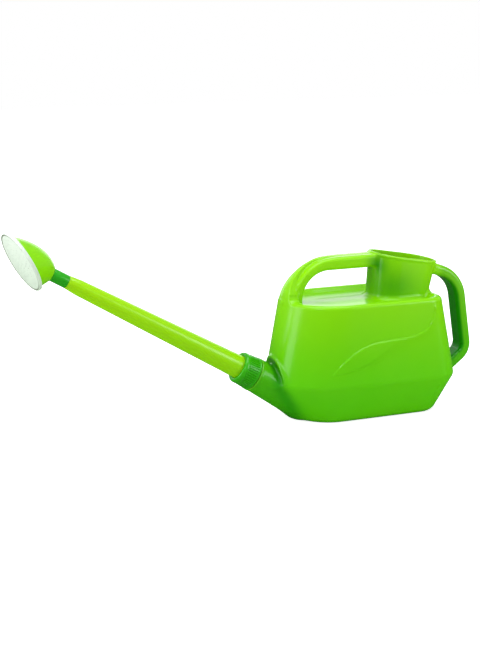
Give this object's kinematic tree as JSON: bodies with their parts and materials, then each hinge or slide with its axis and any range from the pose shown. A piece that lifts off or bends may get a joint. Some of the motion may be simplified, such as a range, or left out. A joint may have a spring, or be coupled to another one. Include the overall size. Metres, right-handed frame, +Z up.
{
  "type": "watering can",
  "caption": "Hollow plastic watering can with a carrying handle, a rear tilting handle, a sloping filler neck and a long screw-on spout that ends in a perforated rose.",
  "frame": {"origin": "centre of the flat base, on the surface that it stands on", "axes": "+Z up, -X towards the spout and the rose, +X towards the rear handle, Y across the can, which is symmetric about Y = 0 apart from the small turn of the rose"},
  "size_m": [0.7619, 0.158, 0.3245],
  "materials": {
    "tank_green": "gloss blow-moulded polyethylene",
    "tube_lime": "gloss polypropylene",
    "collar_green": "gloss with fine ribs",
    "connector_green": "gloss",
    "rose_lime": "gloss",
    "cap_white": "satin",
    "seal_rubber": "matt"
  },
  "bodies": {
    "tank": {"tank_body": "tank_green", "filler_neck": "tank_green", "top_handle": "tank_green", "rear_handle": "tank_green", "outlet_boss": "tank_green"},
    "outlet_seal": {"outlet_washer": "seal_rubber"},
    "spout": {"spout_tube": "tube_lime"},
    "collar": {"collar_nut": "collar_green"},
    "connector": {"rose_connector": "connector_green", "connector_o_ring": "seal_rubber"},
    "rose": {"rose_shell": "rose_lime"},
    "cap": {"rose_cap": "cap_white"}
  },
  "joints": [
    {"name": "spout_draw", "type": "slide", "parent": "tank", "child": "outlet_seal", "axis": [-0.866, 0, 0.5], "range_m": [0, 0.014]},
    {"name": "spout_swivel", "type": "hinge", "parent": "outlet_seal", "child": "spout", "pos_m": [-0.20119, 0, 0.088], "axis": [-0.866, 0, 0.5], "continuous": true},
    {"name": "collar_turn", "type": "hinge", "parent": "spout", "child": "collar", "pos_m": [-0.19599, 0, 0.085], "axis": [-0.866, 0, 0.5], "range_deg": [0, 1260]},
    {"name": "connector_pull", "type": "slide", "parent": "spout", "child": "connector", "axis": [-0.866, 0, 0.5], "range_m": [0, 0.02]},
    {"name": "rose_swivel", "type": "hinge", "parent": "connector", "child": "rose", "pos_m": [-0.49693, 0, 0.25875], "axis": [-0.866, 0, 0.5], "continuous": true},
    {"name": "cap_pull", "type": "slide", "parent": "rose", "child": "cap", "axis": [-0.8898, -0.1304, -0.4373], "range_m": [0, 0.008]}
  ],
  "couplings": [
    {"joint": "spout_draw", "follows": "collar_turn", "m_per_rad": 0.00063662}
  ]
}
